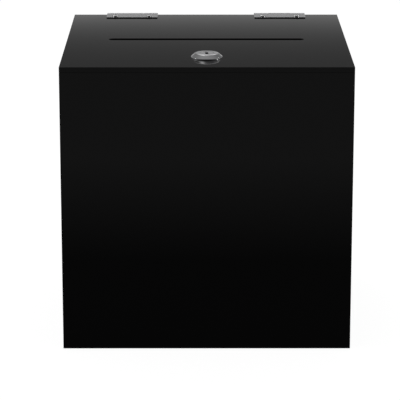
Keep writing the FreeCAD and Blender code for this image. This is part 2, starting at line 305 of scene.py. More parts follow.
@dataclass(frozen=True)
class SatinChrome(Finish):
    """Plated lock metal, satin on the face and polished at the rim, with painted shade down the key slot, in
    metres.
    """

    title: str = "lock_satin_chrome"
    colour: Colour = (0.50, 0.50, 0.51)
    bright_colour: Colour = (0.64, 0.64, 0.65)
    gloss: float = 0.14
    satin: float = 0.12
    cloudiness: float = 0.08
    graininess: float = 0.04
    satin_r: float = 0.0095
    polish_r: float = 0.0130
    # Painted shade down the key slot, and the heights, radius and fade that bound it
    painted_slot_shade: Colour = (0.03, 0.03, 0.032)
    slot_r: float = 0.0050
    slot_top: float = 0.2577
    slot_end: float = 0.2399
    slot_fade: float = 0.0006

    def sockets(self, graph: Graph) -> dict[str, Any]:
        """Return a value or a wire for each socket."""
        cloud = graph.noise(160.0, 3.0)
        grain = graph.noise(1800.0, 2.0)
        across, along, height = graph.axis("X"), graph.axis("Y") - LOCK_Y * MM, graph.axis("Z")
        radius = (across * across + along * along).root()
        satin = ((self.polish_r - radius) / (self.polish_r - self.satin_r)).clamped()
        # Painted shade: below the plug's face and within the key slot's radius the colour goes nearly black,
        # standing in for the shade down the slot
        depths = (self.slot_top - height, height - self.slot_end, self.slot_r - radius)
        below, above, within = ((depth / self.slot_fade).clamped() for depth in depths)
        metal = graph.blend(self.colour, self.bright_colour, cloud)
        uneven = self.cloudiness * cloud
        return {
            "Base Color": graph.blend(metal, self.painted_slot_shade, below * above * within),
            "Metallic": 1.0,
            "Roughness": self.gloss + self.satin * satin + uneven + self.graininess * grain,
            "Normal": graph.bump(cloud + 0.3 * grain, 0.02),
        }


@dataclass(frozen=True)
class PlatedZinc(Finish):
    """Zinc-plated hardware inside the lid, mottled by its plating."""

    title: str = "lock_plated_zinc"
    colour: Colour = (0.48, 0.49, 0.51)
    spangle_colour: Colour = (0.63, 0.64, 0.66)
    gloss: float = 0.3
    mottle: float = 0.16

    def sockets(self, graph: Graph) -> dict[str, Any]:
        """Return a value or a wire for each socket."""
        cells = {"Vector": graph.place(), "Scale": 420.0}
        spangle = graph.node("ShaderNodeTexVoronoi", cells, "Distance")
        cloud = graph.noise(240.0, 3.0)
        return {
            "Base Color": graph.blend(self.colour, self.spangle_colour, 0.5 * spangle + 0.5 * cloud),
            "Metallic": 1.0,
            "Roughness": self.gloss + self.mottle * cloud,
            "Normal": graph.bump(cloud, 0.01),
        }


@dataclass(frozen=True)
class SatinBrass(Finish):
    """Stamped brass of the tumblers."""

    title: str = "tumbler_satin_brass"
    colour: Colour = (0.66, 0.47, 0.18)
    rubbed_colour: Colour = (0.82, 0.64, 0.30)
    gloss: float = 0.28
    rubbing: float = 0.14

    def sockets(self, graph: Graph) -> dict[str, Any]:
        """Return a value or a wire for each socket."""
        rubbed = graph.noise(1500.0, 3.0, (1.0, 0.15, 1.0))
        return {
            "Base Color": graph.blend(self.colour, self.rubbed_colour, rubbed),
            "Metallic": 1.0,
            "Roughness": self.gloss + self.rubbing * rubbed,
        }


def filleted(corners: Sequence[Corner], closed: bool = True, steps: int = 5) -> list[Point]:
    """Round the corners of a line.

    Args:
        corners: Each corner's place and the radius of its rounding.
        closed: Whether the line returns to its start.
        steps: Lines in each rounding.

    Returns:
        The points of the rounded line.
    """
    points: list[Point] = []
    for k, (x, y, radius) in enumerate(corners):
        if radius <= 0.0 or (not closed and k in (0, len(corners) - 1)):
            points.append((x, y))
            continue
        here = Vector((x, y))
        before = (Vector(corners[k - 1][:2]) - here).normalized()
        after = (Vector(corners[(k + 1) % len(corners)][:2]) - here).normalized()
        half = before.angle(after) / 2.0
        middle = here + (before + after).normalized() * (radius / math.sin(half))
        start = here + before * (radius / math.tan(half)) - middle
        end = here + after * (radius / math.tan(half)) - middle
        for step in range(steps + 1):
            arm = start.slerp(end, step / steps).normalized() * radius
            points.append((middle.x + arm.x, middle.y + arm.y))
    return points


def circle(radius: float, centre: Point = (0.0, 0.0), count: int = 48) -> list[Point]:
    """Return the points of a circle."""
    turns = [2.0 * math.pi * k / count for k in range(count)]
    return [(centre[0] + radius * math.cos(a), centre[1] + radius * math.sin(a)) for a in turns]


def arc(radius: float, start: float, end: float, steps: int = 40) -> list[Point]:
    """Return the points of an arc about the origin, from one angle to another."""
    turns = [start + (end - start) * k / steps for k in range(steps + 1)]
    return [(radius * math.cos(a), radius * math.sin(a)) for a in turns]


def rectangle(low: Point, high: Point, radius: float = 0.0) -> list[Point]:
    """Return the points of a rectangle with rounded corners."""
    spots = (low, (high[0], low[1]), high, (low[0], high[1]))
    return filleted([(x, y, radius) for x, y in spots])


def screw_holes(spots: Points) -> list[list[Point]]:
    """Return the edges of the screw holes at some spots of a sheet."""
    return [circle(SCREW_HOLE / 2, spot, count=24) for spot in spots]


class Form:
    """A mesh in the making, in millimetres."""

    eased_above: float = math.radians(40)
    sharp_above: float = math.radians(35)
    flat_normal: float = 0.98
    weld: float = 1e-4

    def __init__(self) -> None:
        """Start with nothing."""
        self.bm = bmesh.new()

    @classmethod
    def sheet(cls, outline: Points, holes: Sequence[Points], thickness: float,
              ease: float) -> "Form":
        """Cut a flat sheet with holes and eased edges.

        Args:
            outline: The sheet's outer edge, in its own plane.
            holes: The edge of each hole.
            thickness: The sheet's thickness, along +Z from its plane.
            ease: Width of the rounding along every edge.

        Returns:
            The sheet, with its cut edges marked.
        """
        form = cls()
        loops: dict[float, list[bmesh.types.BMEdge]] = {0.0: [], thickness: []}
        for line in [outline, *holes]:
            low = [form.bm.verts.new((x, y, 0.0)) for x, y in line]
            high = [form.bm.verts.new((x, y, thickness)) for x, y in line]
            for k in range(len(line)):
                face = form.bm.faces.new((low[k - 1], low[k], high[k], high[k - 1]))
                loops[0.0].append(face.edges[0])
                loops[thickness].append(face.edges[2])
        for edges in loops.values():
            bmesh.ops.triangle_fill(form.bm, use_beauty=True, edges=edges)
        bmesh.ops.recalc_face_normals(form.bm, faces=form.bm.faces[:])
        sharp = [e for e in form.bm.edges if e.is_manifold and e.calc_face_angle() > cls.eased_above]
        bmesh.ops.bevel(form.bm, geom=sharp, offset=ease, offset_type="OFFSET", segments=3, profile=0.5,
                        affect="EDGES", clamp_overlap=True)
        mark = form.bm.faces.layers.float.new("cut_edge")
        for face in form.bm.faces:
            face[mark] = 0.0 if abs(face.normal.z) > cls.flat_normal else 1.0
        return form

    @classmethod
    def skin(cls, rings: Sequence[Sequence[Vector]], joined: bool = False) -> "Form":
        """Cover a row of rings.

        Args:
            rings: The rings, each with as many points as the next.
            joined: Whether the last ring joins the first; otherwise both ends are closed.

        Returns:
            The covered form.
        """
        form = cls()
        rows = [[form.bm.verts.new(p) for p in ring] for ring in rings]
        pairs = list(zip(rows, rows[1:]))
        if joined:
            pairs.append((rows[-1], rows[0]))
        else:
            form.bm.faces.new(rows[0])
            form.bm.faces.new(rows[-1])
        for low, high in pairs:
            for k in range(len(low)):
                form.bm.faces.new((low[k - 1], low[k], high[k], high[k - 1]))
        return form

    @classmethod
    def lofted(cls, outlines: Sequence[tuple[float, Points]]) -> "Form":
        """Cover a row of level outlines, each at its own height."""
        return cls.skin([[Vector((x, y, z)) for x, y in outline] for z, outline in outlines])

    @classmethod
    def turned(cls, profile: Points, count: int) -> "Form":
        """Turn a profile of radius and height about Z."""
        return cls.lofted([(z, circle(r, count=count)) for r, z in profile])

    @classmethod
    def shaped(cls, rows: Sequence[Ring], count: int, joined: bool) -> "Form":
        """Cover rings whose radius and height change with the angle about Z."""
        angles = [2.0 * math.pi * k / count for k in range(count)]
        rings = [[Vector((r(a) * math.cos(a), r(a) * math.sin(a), z(a))) for a in angles] for r, z in rows]
        return cls.skin(rings, joined)

    def moved(self, place: Matrix) -> "Form":
        """Move, turn or mirror the form, and return it."""
        bmesh.ops.transform(self.bm, matrix=place, verts=self.bm.verts[:])
        return self

    def shifted(self, x: float, y: float, z: float) -> "Form":
        """Shift the form, and return it."""
        return self.moved(Matrix.Translation((x, y, z)))

    def with_form(self, other: "Form") -> "Form":
        """Take another form in as loose parts of this one, and return this one."""
        other_mesh = bpy.data.meshes.new("loose_form")
        other.bm.to_mesh(other_mesh)
        self.bm.from_mesh(other_mesh)
        bpy.data.meshes.remove(other_mesh)
        return self

    def carved(self, cutter: "Form") -> "Form":
        """Cut another form away from this one, and return this one."""
        whole, knife = self.as_object(), cutter.as_object()
        cut = whole.modifiers.new("cut", "BOOLEAN")
        cut.operation = "DIFFERENCE"
        cut.solver = "EXACT"
        cut.object = knife
        result = evaluated_mesh(whole)
        self.bm.clear()
        self.bm.from_mesh(result)
        bpy.data.meshes.remove(result)
        for used in (whole, knife):
            bpy.data.meshes.remove(used.data)
        return self

    def as_object(self) -> Object:
        """Return a scratch object that shows the form."""
        mesh = bpy.data.meshes.new("scratch_form")
        bmesh.ops.recalc_face_normals(self.bm, faces=self.bm.faces[:])
        self.bm.to_mesh(mesh)
        return placed("scratch_form", mesh)

    def mesh(self, flat_faces: bool = True) -> Mesh:
        """Finish the form as a smooth mesh in metres.

        Args:
            flat_faces: Whether large faces keep flat shading up to their roundings.

        Returns:
            The finished mesh.
        """
        bmesh.ops.remove_doubles(self.bm, verts=self.bm.verts[:], dist=self.weld)
        made = self.as_object()
        made.data.transform(Matrix.Scale(MM, 4))
        made.data.shade_smooth()
        made.data.set_sharp_from_angle(angle=self.sharp_above)
        if flat_faces:
            weigh = made.modifiers.new("weigh", "WEIGHTED_NORMAL")
            weigh.keep_sharp = True
        result = evaluated_mesh(made)
        bpy.data.meshes.remove(made.data)
        return result


def evaluated_mesh(made: Object) -> Mesh:
    """Return a plain mesh of an object with its modifiers applied."""
    graph = bpy.context.evaluated_depsgraph_get()
    shown = made.evaluated_get(graph)
    return bpy.data.meshes.new_from_object(shown, preserve_all_data_layers=True, depsgraph=graph)


@dataclass
class Finishes:
    """The materials of the box, made once, and the pieces that are dressed in them."""

    def __post_init__(self) -> None:
        """Make every material."""
        self.by_slot: dict[Slot, Material] = {
            Slot.ACRYLIC: PolishedAcrylic().material(),
            Slot.HINGE: BrushedNickel().material(),
            Slot.SCREW: BrightZinc().material(),
            Slot.CHROME: SatinChrome().material(),
            Slot.ZINC: PlatedZinc().material(),
            Slot.BRASS: SatinBrass().material(),
        }

    def dress(self, mesh: Mesh, node: str, ending: str, slot: Slot, body: Body) -> None:
        """Add a finished piece that stands for a CAD node.

        Args:
            mesh: The piece's mesh, in place.
            node: The node that it stands for.
            ending: What the piece's name adds to the node's.
            slot: Its material slot.
            body: The body that it rides on.
        """
        name = f"{node}_{ending}"
        mesh.name = name
        mesh.materials.clear()
        mesh.materials.append(self.by_slot[slot])
        piece = placed(name, mesh)
        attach(piece, body.value)
        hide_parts(node)
        LOG.info("%s: %d faces on %s", name, len(mesh.polygons), body.value)

    def dress_node(self, node: str, slot: Slot) -> None:
        """Give a CAD node that stays its material."""
        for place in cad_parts[node].material_slots:
            place.material = self.by_slot[slot]
        LOG.info("%s: kept from the frame", node)


@dataclass
class AcrylicBox:
    """Four walls, the base and the latch ledge, in millimetres."""

    width: float = BOX_SIZE
    depth: float = BOX_SIZE
    wall_top: float = WALL_TOP
    sheet: float = SHEET
    ease: float = 0.12
    ledge_width: float = 40.0
    ledge_rear: float = -102.5
    ledge_bottom: float = 237.7
    ledge_corner: float = 1.0

    def wall(self, half: float, holes: Sequence[Points]) -> Form:
        """Return the sheet of a wall of some half width, still lying flat."""
        return Form.sheet(rectangle((-half, 0.0), (half, self.wall_top)), holes, self.sheet, self.ease)

    def cross_wall(self, inner_y: float, holes: Sequence[Points]) -> Form:
        """Return a wall across the box, whose sheet lies from inner_y towards -Y."""
        return self.wall(self.width / 2, holes).moved(ACROSS).shifted(0.0, inner_y, 0.0)

    def side_wall(self, side: Side) -> Form:
        """Return the wall on one side, between the front and rear walls."""
        low_x = side.value * (self.width / 2 - self.sheet / 2) - self.sheet / 2
        return self.wall(self.depth / 2 - self.sheet, []).moved(ALONG).shifted(low_x, 0.0, 0.0)

    def base(self) -> Form:
        """Return the base, let in between the walls."""
        half_x = self.width / 2 - self.sheet
        half_y = self.depth / 2 - self.sheet
        return Form.sheet(rectangle((-half_x, -half_y), (half_x, half_y)), [], self.sheet, self.ease)

    def ledge(self) -> Form:
        """Return the ledge that the cam hooks under."""
        half = self.ledge_width / 2
        outline = rectangle((-half, self.sheet - self.depth / 2), (half, self.ledge_rear), self.ledge_corner)
        return Form.sheet(outline, [], self.sheet, self.ease).shifted(0.0, 0.0, self.ledge_bottom)

    def build(self, finishes: Finishes, screws: Points) -> None:
        """Build and dress every panel of the box.

        Args:
            finishes: The materials.
            screws: Where the hinge screws pass through the rear wall, along X and Z.
        """
        forms = {
            "front_wall": self.cross_wall(self.sheet - self.depth / 2, []),
            "rear_wall": self.cross_wall(self.depth / 2, screw_holes(screws)),
            "left_wall": self.side_wall(Side.LEFT),
            "right_wall": self.side_wall(Side.RIGHT),
            "base_panel": self.base(),
            "latch_ledge": self.ledge(),
        }
        for node, form in forms.items():
            finishes.dress(form.mesh(), node, "sheet", Slot.ACRYLIC, Body.BOX)


@dataclass
class SlottedLid:
    """The lid's sheet with its slot, lock hole and screw holes, in millimetres."""

    width: float = BOX_SIZE
    front: float = -127.0
    rear: float = 126.8
    bottom: float = WALL_TOP
    sheet: float = SHEET
    ease: float = 0.15
    slot_length: float = 177.8
    slot_width: float = 8.0
    slot_y: float = 0.0
    slot_flat: float = 0.01
    lock_hole: float = 19.4
    lock_flats: float = 16.4

    def slot(self) -> list[Point]:
        """Return the edge of the ballot slot, whose round ends keep a tiny flat."""
        half = self.slot_length / 2
        reach = self.slot_width / 2
        low, high = (-half, self.slot_y - reach), (half, self.slot_y + reach)
        return rectangle(low, high, reach - self.slot_flat)

    def lock_opening(self) -> list[Point]:
        """Return the edge of the flatted lock hole."""
        half = self.lock_flats / 2
        whole = circle(self.lock_hole / 2, (0.0, LOCK_Y), count=64)
        return [(max(-half, min(half, x)), y) for x, y in whole]

    def build(self, finishes: Finishes, screws: Points) -> None:
        """Build and dress the lid, through which the hinge screws pass at some spots along X and Y."""
        half = self.width / 2
        holes = [self.slot(), self.lock_opening(), *screw_holes(screws)]
        form = Form.sheet(rectangle((-half, self.front), (half, self.rear)), holes, self.sheet, self.ease)
        mesh = form.shifted(0.0, 0.0, self.bottom).mesh()
        finishes.dress(mesh, "lid_panel", "sheet", Slot.ACRYLIC, Body.LID)


@dataclass
class CornerHinge:
    """One rolled hinge over the rear edge, drawn about its pin, in millimetres."""

    side: Side
    centre_x: float = 71.0
    axis_y: float = 128.56
    axis_z: float = 253.85
    lid_seat: float = 0.15
    wall_seat: float = -1.56
    length: float = 49.0
    middle: float = 22.0
    sheet: float = 0.9
    reach: float = 21.2
    corner: float = 0.4
    sweep_deg: float = 70.0
    sweep_steps: int = 8
    bore_r: float = 0.54
    pin_r: float = 0.5
    pin_dome: float = 0.18
    pin_tip_r: float = 0.02
    gap: float = 0.2
    seam: float = 0.15
    ease: float = 0.1
    screw_spacing: float = 32.5
    screw_from_axis: float = 15.0

    @property
    def roll_r(self) -> float:
        """Return the outer radius of a knuckle."""
        return self.bore_r + self.sheet

    @property
    def lid_row(self) -> Place:
        """Return the middle of the row of screws on the lid's upper face."""
        return (0.0, self.axis_y - self.screw_from_axis, self.axis_z + self.lid_seat)

    @property
    def wall_row(self) -> Place:
        """Return the middle of the row of screws on the rear wall's outer face."""
        return (0.0, self.axis_y + self.wall_seat, self.axis_z - self.screw_from_axis)

    def screw_x(self) -> list[float]:
        """Return where the leaf's screws stand along X."""
        middle = self.side.value * self.centre_x
        return [middle - self.screw_spacing / 2, middle + self.screw_spacing / 2]

    def plate(self, seat: float) -> Form:
        """Return the flat of a leaf on its seat, with its free corners eased."""
        half = self.length / 2
        back = -(self.roll_r + self.gap)
        corners = [(-half, back, 0.0), (-half, -self.reach, self.corner), (half, -self.reach, self.corner),
                   (half, back, 0.0)]
        holes = screw_holes([(end * self.screw_spacing / 2, -self.screw_from_axis) for end in (-1, 1)])
        return Form.sheet(filleted(corners), holes, self.sheet, self.ease).shifted(0.0, 0.0, seat)

    def over_roll(self) -> list[Point]:
        """Return the section of the lid leaf's sheet, swept up and rolled over the pin to a seam below it."""
        seat = self.lid_seat
        top = seat + self.sheet
        lip = seat - self.seam
        far = -2.0 * self.roll_r
        meet = math.radians(self.sweep_deg)
        run = -far - self.roll_r * math.cos(meet)
        rise = self.roll_r * math.sin(meet) - top
        power = run / (math.tan(meet) * rise)
        shares = [k / self.sweep_steps for k in range(self.sweep_steps)]
        ramp = [(far + run * share, top + rise * share ** power) for share in shares]
        outer = arc(self.roll_r, math.pi - meet, -math.pi - math.asin(lip / self.roll_r))
        start = -math.pi - math.asin(lip / self.bore_r)
        inner = arc(self.bore_r, start, math.pi - math.asin(seat / self.bore_r))
        return [(far, seat), *ramp, *outer, *inner]

    def outward_roll(self) -> list[Point]:
        """Return the section of the wall leaf's sheet, rolled outwards round the pin to a seam above it."""
        seat = self.wall_seat
        top = seat + self.sheet
        lip = top + self.seam
        far = -2.0 * self.roll_r
        outer = arc(self.roll_r, -math.pi / 2, math.pi - math.asin(lip / self.roll_r))
        inner = arc(self.bore_r, math.pi - math.asin(lip / self.bore_r), -math.pi / 2)
        return [(far, top), (far, seat), (0.0, seat), *outer, *inner, (0.0, top)]

    def leaf(self, ends: bool, seat: float, section: Points) -> Form:
        """Return a leaf with either the two end knuckles or the middle one.

        Args:
            ends: Whether it holds the end knuckles.
            seat: The height of its underside from the pin.
            section: The section of its knuckles.

        Returns:
            The leaf, about the pin.
        """
        half, middle, gap = self.length / 2, self.middle / 2, self.gap / 2
        spans = [(-half, -middle - gap), (middle + gap, half)] if ends else [(gap - middle, middle - gap)]
        form = self.plate(seat)
        for low, high in spans:
            roll = Form.sheet(section, [], high - low, self.ease / 2)
            form.with_form(roll.moved(ALONG).shifted(low, 0.0, 0.0))
        return form

    def pin(self) -> Form:
        """Return the pin with its ends a little domed."""
        half = self.length / 2
        corners = [(self.pin_tip_r, -half, 0.0), (self.pin_r, -half, self.pin_dome),
                   (self.pin_r, half, self.pin_dome), (self.pin_tip_r, half, 0.0)]
        return Form.turned(filleted(corners, closed=False), count=24).moved(ALONG)

    def build(self, finishes: Finishes) -> None:
        """Build and dress the hinge's leaves and pin."""
        place = (self.side.value * self.centre_x, self.axis_y, self.axis_z)
        name = self.side.name.lower()
        right = self.side is Side.RIGHT
        over = self.leaf(right, self.lid_seat, self.over_roll()).shifted(*place)
        finishes.dress(over.mesh(), f"{name}_lid_leaf", "rolled", Slot.HINGE, Body.LID)
        outward = self.leaf(not right, self.wall_seat, self.outward_roll()).moved(OVER_CORNER).shifted(*place)
        finishes.dress(outward.mesh(), f"{name}_rear_leaf", "rolled", Slot.HINGE, Body.BOX)
        pin = self.pin().shifted(*place)
        finishes.dress(pin.mesh(flat_faces=False), f"{name}_hinge_pin", "wire", Slot.HINGE, Body.BOX)


@dataclass(frozen=True)
class Thread:
    """A helical thread about Z, in millimetres."""

    radius: float
    depth: float
    pitch: float
    rings_per_turn: int = 6

    def rows(self, low: float, high: float) -> list[Ring]:
        """Return the thread's rings between two heights."""
        count = max(2, round((high - low) / self.pitch * self.rings_per_turn))
        heights = [low + (high - low) * k / count for k in range(count + 1)]
        return [(self.crest(z), lambda angle, z=z: z) for z in heights]

    def crest(self, height: float) -> Callable[[float], float]:
        """Return the radius round the thread at one height."""
        turns = height / self.pitch
        return lambda a: self.radius - self.depth * abs(2.0 * ((turns - a / (2.0 * math.pi)) % 1.0) - 1.0)


def level(radius: float, height: float) -> Ring:
    """Return a plain round ring."""
    return (lambda angle: radius, lambda angle: height)


def rounded_rows(corners: Sequence[Corner]) -> list[Ring]:
    """Return the rings of a profile of radius and height with rounded corners."""
    return [level(r, z) for r, z in filleted(corners, closed=False, steps=6)]


@dataclass(frozen=True)
class HexNut:
    """A hex nut about Z, whose corners are chamfered at both ends, in millimetres."""

    flats: float
    thread: Thread
    low: float
    height: float
    fit: float = 0.05
    seat_share: float = 0.97
    chamfer_deg: float = 30.0
    lead_in: float = 0.15

    def side(self, angle: float) -> float:
        """Return the hexagon's radius."""
        sixth = math.pi / 3.0
        return self.flats / 2 / math.cos(angle % sixth - sixth / 2)

    def form(self) -> Form:
        """Return the nut's form."""
        seat = self.flats / 2 * self.seat_share
        bore = self.thread.radius + self.fit
        lead = self.lead_in * self.height / 2
        top = self.low + self.height

        def drop(angle: float) -> float:
            """Return how far the chamfer comes down."""
            return (self.side(angle) - seat) * math.tan(math.radians(self.chamfer_deg))

        lower: Ring = (self.side, lambda angle: self.low + drop(angle))
        upper: Ring = (self.side, lambda angle: top - drop(angle))
        rows = [level(bore, self.low), level(seat, self.low), lower, upper, level(seat, top),
                level(bore + lead, top), level(bore, top - lead)]
        return Form.shaped(rows, count=72, joined=True)


@dataclass
class LeafFasteners:
    """Screws and nuts of the hinge leaves, set out by a node tree, in millimetres."""

    hinge: CornerHinge
    sheet: float = SHEET
    thread: Thread = Thread(1.5, 0.24, 0.5)
    head: float = 5.6
    head_height: float = 1.2
    head_under: float = 0.08
    head_edge: float = 0.3
    head_round: float = 0.25
    dome_share: float = 0.62
    dome_drop: float = 0.08
    dome_round: float = 1.0
    centre_r: float = 0.05
    recess: float = 3.3
    recess_width: float = 0.8
    recess_depth: float = 0.9
    recess_end: float = 0.5
    recess_mouth: float = 1.1
    thread_start: float = 0.3
    thread_stop: float = 0.6
    plain_from: float = 0.9
    nut_flats: float = 5.5
    nut_height: float = 2.4
    tip: float = 1.0
    tip_taper: float = 0.45
    seed: int = 7

    def screw(self) -> Form:
        """Return a domed pan-head screw with a cross recess, its leaf on the sheet's face at Z = 0."""
        leaf = self.hinge.sheet
        top = leaf + self.head_height
        radius, shank = self.head / 2, self.thread.radius
        end = -(self.sheet + self.nut_height + self.tip)
        rows = [level(shank - self.tip_taper, end)]
        rows += self.thread.rows(end + self.thread_start, -self.sheet + self.thread_stop)
        rows += [level(shank, -self.sheet + self.plain_from), level(shank, leaf)]
        corners = [(shank, leaf, 0.0), (radius, leaf, self.head_under),
                   (radius, top - self.head_edge, self.head_round),
                   (radius * self.dome_share, top - self.dome_drop, self.dome_round),
                   (self.centre_r, top, 0.0)]
        form = Form.shaped(rows + rounded_rows(corners)[1:], count=36, joined=False)
        for across in (0.0, math.pi / 2):
            form = form.carved(self.blade(top).moved(Matrix.Rotation(across, 4, "Z")))
        return form

    def blade(self, top: float) -> Form:
        """Return one tapered arm pair of the cross recess as a cutter below a height."""
        outlines = []
        for height, share in ((-self.recess_depth, self.recess_end), (CUT_PAST, self.recess_mouth)):
            half_x = self.recess / 2 * share
            half_y = self.recess_width / 2 * (0.7 + 0.3 * share)
            outlines.append((top + height, rectangle((-half_x, -half_y), (half_x, half_y))))
        return Form.lofted(outlines)

    def nut(self) -> Form:
        """Return a nut on the sheet's inner face."""
        return HexNut(self.nut_flats, self.thread, -self.sheet - self.nut_height, self.nut_height).form()

    def row_tree(self) -> NodeTree:
        """Return the node tree that sets four copies of a fastener out on two leaves."""
        tree = bpy.data.node_groups.new("fastener_row", "GeometryNodeTree")
        sockets = {"Fastener": "Object", "Hinge spacing": "Float", "Screw spacing": "Float",
                   "Row place": "Vector", "Row tilt": "Float", "Most turn": "Float", "Seed": "Int",
                   "Finish": "Material"}
        for name, kind in sockets.items():
            tree.interface.new_socket(name=name, in_out="INPUT", socket_type=f"NodeSocket{kind}")
        tree.interface.new_socket(name="Geometry", in_out="OUTPUT", socket_type="NodeSocketGeometry")
        graph = Graph(tree)
        source = tree.nodes.new("NodeGroupInput")
        given = {name: Wire(graph, source.outputs[name]) for name in sockets}
        lines = [self.pair_line(graph, given[name]) for name in ("Hinge spacing", "Screw spacing")]
        pairs = graph.node("GeometryNodeInstanceOnPoints", {"Points": lines[0], "Instance": lines[1]})
        spots = graph.node("GeometryNodeRealizeInstances", {0: pairs})
        spots = graph.node("GeometryNodeSetPosition", {"Geometry": spots, "Offset": given["Row place"]})
        lean = {"Axis": (1.0, 0.0, 0.0), "Angle": given["Row tilt"]}
        tilt = graph.node("FunctionNodeAxisAngleToRotation", lean)
        limits = {2: 0.0, 3: given["Most turn"], "Seed": given["Seed"]}
        turn = graph.node("FunctionNodeRandomValue", limits, 1, data_type="FLOAT")
        spin = graph.node("FunctionNodeAxisAngleToRotation", {"Axis": (0.0, 0.0, 1.0), "Angle": turn})
        facing = graph.node("FunctionNodeRotateRotation", {"Rotation": tilt, "Rotate By": spin},
                            rotation_space="LOCAL")
        shape = graph.node("GeometryNodeObjectInfo", {"Object": given["Fastener"]}, "Geometry")
        spread = {"Points": spots, "Instance": shape, "Rotation": facing}
        copies = graph.node("GeometryNodeInstanceOnPoints", spread)
        solid = graph.node("GeometryNodeRealizeInstances", {0: copies})
        dressed = graph.node("GeometryNodeSetMaterial", {"Geometry": solid, "Material": given["Finish"]})
        graph.node("NodeGroupOutput", {"Geometry": dressed})
        return tree

    @staticmethod
    def pair_line(graph: Graph, spacing: Wire) -> Wire:
        """Return two points along X, the given spacing apart about the middle."""
        start = graph.node("ShaderNodeCombineXYZ", {"X": spacing * -0.5})
        step = graph.node("ShaderNodeCombineXYZ", {"X": spacing})
        ends = {"Count": 2, "Start Location": start, "Offset": step}
        return graph.node("GeometryNodeMeshLine", ends, mode="OFFSET")

    @staticmethod
    def row(tree: NodeTree, values: dict[str, Any]) -> Mesh:
        """Return the plain mesh of a row of fasteners.

        Args:
            tree: The tree that sets the row out.
            values: A value for each of its inputs.

        Returns:
            The mesh, in metres and in place.
        """
        carrier = placed("row_carrier", bpy.data.meshes.new("row_carrier"))
        row = carrier.modifiers.new("row", "NODES")
        row.node_group = tree
        for item in tree.interface.items_tree:
            if item.in_out == "INPUT":
                row[item.identifier] = values[item.name]
        result = evaluated_mesh(carrier)
        carrier.modifiers.remove(row)
        bpy.data.meshes.remove(carrier.data)
        return result

    def build(self, finishes: Finishes) -> None:
        """Build and dress the screws and nuts of both rows."""
        tree = self.row_tree()
        rows = {"lid": (self.hinge.lid_row, 0.0, Body.LID),
                "rear": (self.hinge.wall_row, -math.pi / 2, Body.BOX)}
        for kind, form, turn in (("screws", self.screw(), math.pi), ("nuts", self.nut(), math.pi / 3)):
            pattern = placed("pattern_" + kind, form.mesh(flat_faces=False))
            for k, (leaf, (place, tilt, body)) in enumerate(rows.items()):
                values = {"Fastener": pattern, "Hinge spacing": 2.0 * self.hinge.centre_x * MM,
                          "Screw spacing": self.hinge.screw_spacing * MM, "Row place": Vector(place) * MM,
                          "Row tilt": tilt, "Most turn": turn, "Seed": self.seed + k,
                          "Finish": finishes.by_slot[Slot.SCREW]}
                mesh = self.row(tree, values)
                finishes.dress(mesh, f"{leaf}_leaf_{kind}", "row", Slot.SCREW, body)
            bpy.data.meshes.remove(pattern.data)


